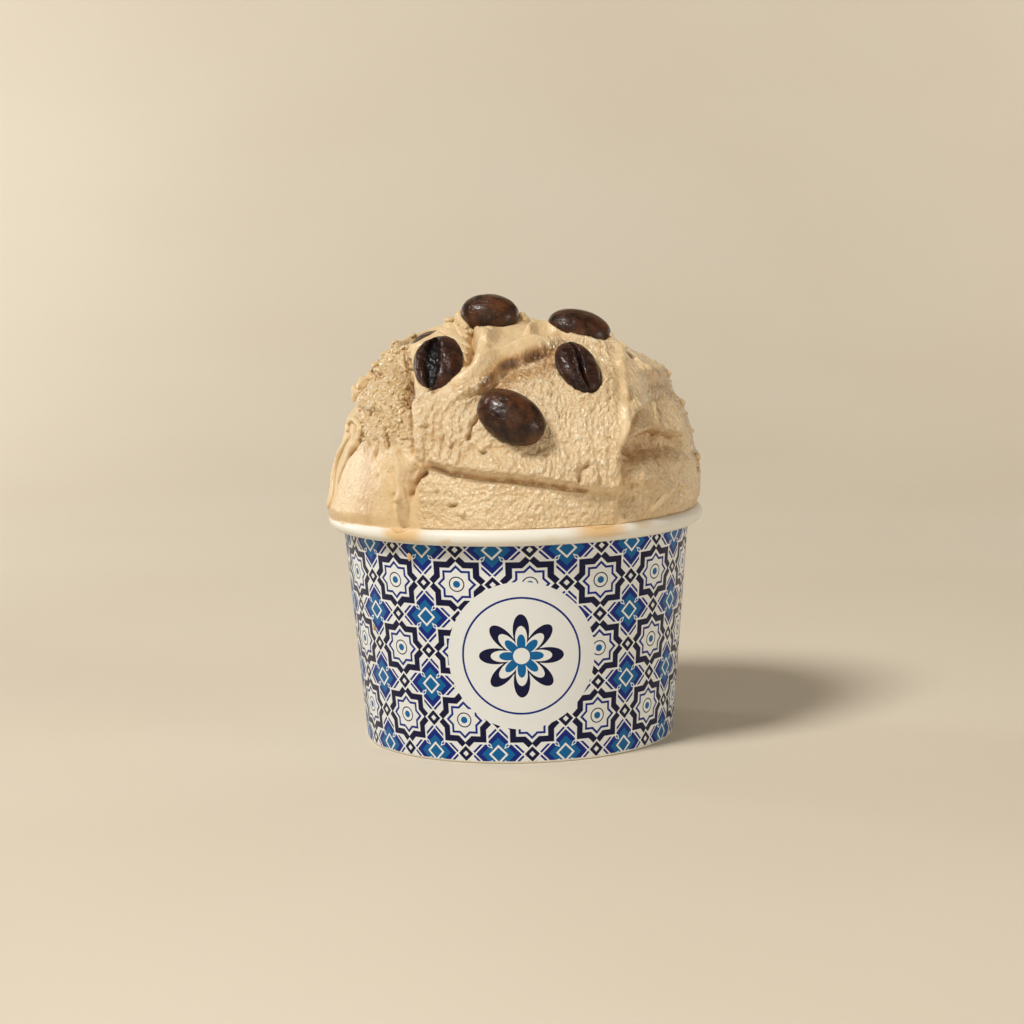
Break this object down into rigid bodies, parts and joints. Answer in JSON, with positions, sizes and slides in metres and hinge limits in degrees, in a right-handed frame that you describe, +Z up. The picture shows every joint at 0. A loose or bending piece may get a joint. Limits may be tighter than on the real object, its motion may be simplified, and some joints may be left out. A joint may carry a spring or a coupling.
{
  "type": "gelato cup",
  "caption": "Round paper cup with a rolled rim, filled with a scooped mound of coffee gelato and topped with roasted coffee beans.",
  "frame": {"origin": "on the floor, under the middle of the cup", "axes": "+Z up the cup, -Y towards the wiped front of the gelato, +X to the viewer's right"},
  "size_m": [0.076, 0.075, 0.0892],
  "materials": {
    "printed_board": "coated board with a blue tile print, plain white rim",
    "white_board": "plain coated board",
    "coffee_gelato": "moist coffee gelato, wiped and torn by a spatula",
    "roasted_bean": "dark roast with an oily sheen"
  },
  "bodies": {
    "root": {"cup_wall": "printed_board", "cup_base": "white_board", "gelato": "coffee_gelato", "bean_1": "roasted_bean", "bean_2": "roasted_bean", "bean_3": "roasted_bean", "bean_4": "roasted_bean", "bean_5": "roasted_bean", "bean_6": "roasted_bean", "bean_7": "roasted_bean"}
  },
  "joints": []
}
